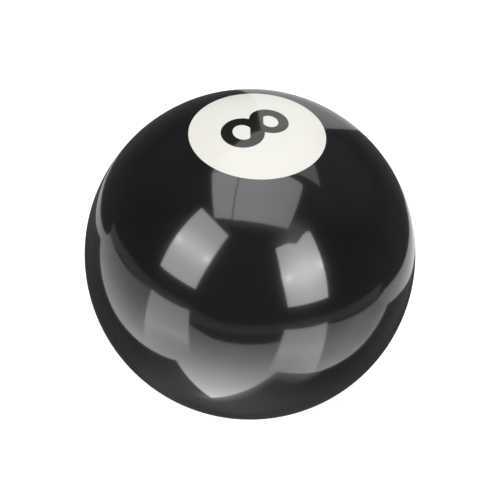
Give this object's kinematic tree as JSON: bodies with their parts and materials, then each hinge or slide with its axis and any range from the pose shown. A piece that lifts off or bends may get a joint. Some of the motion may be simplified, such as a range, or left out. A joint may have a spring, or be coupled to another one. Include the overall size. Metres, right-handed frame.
{
  "type": "numbered pool ball",
  "caption": "Solid polished black ball with a white number disc flush in each pole and a black numeral 8 inlaid in each disc.",
  "frame": {"origin": "centre of the ball", "axes": "+Z through the middle of the top number disc, +Y towards the top of both numerals, +X to the right of the top numeral as it is read from outside the ball"},
  "size_m": [0.0572, 0.0572, 0.0572],
  "materials": {
    "black_resin": "polished",
    "white_resin": "polished",
    "numeral_resin": "polished"
  },
  "bodies": {
    "root": {"ball_body": "black_resin", "number_disc_top": "white_resin", "number_disc_bottom": "white_resin", "numeral_top": "numeral_resin", "numeral_bottom": "numeral_resin"}
  },
  "joints": []
}
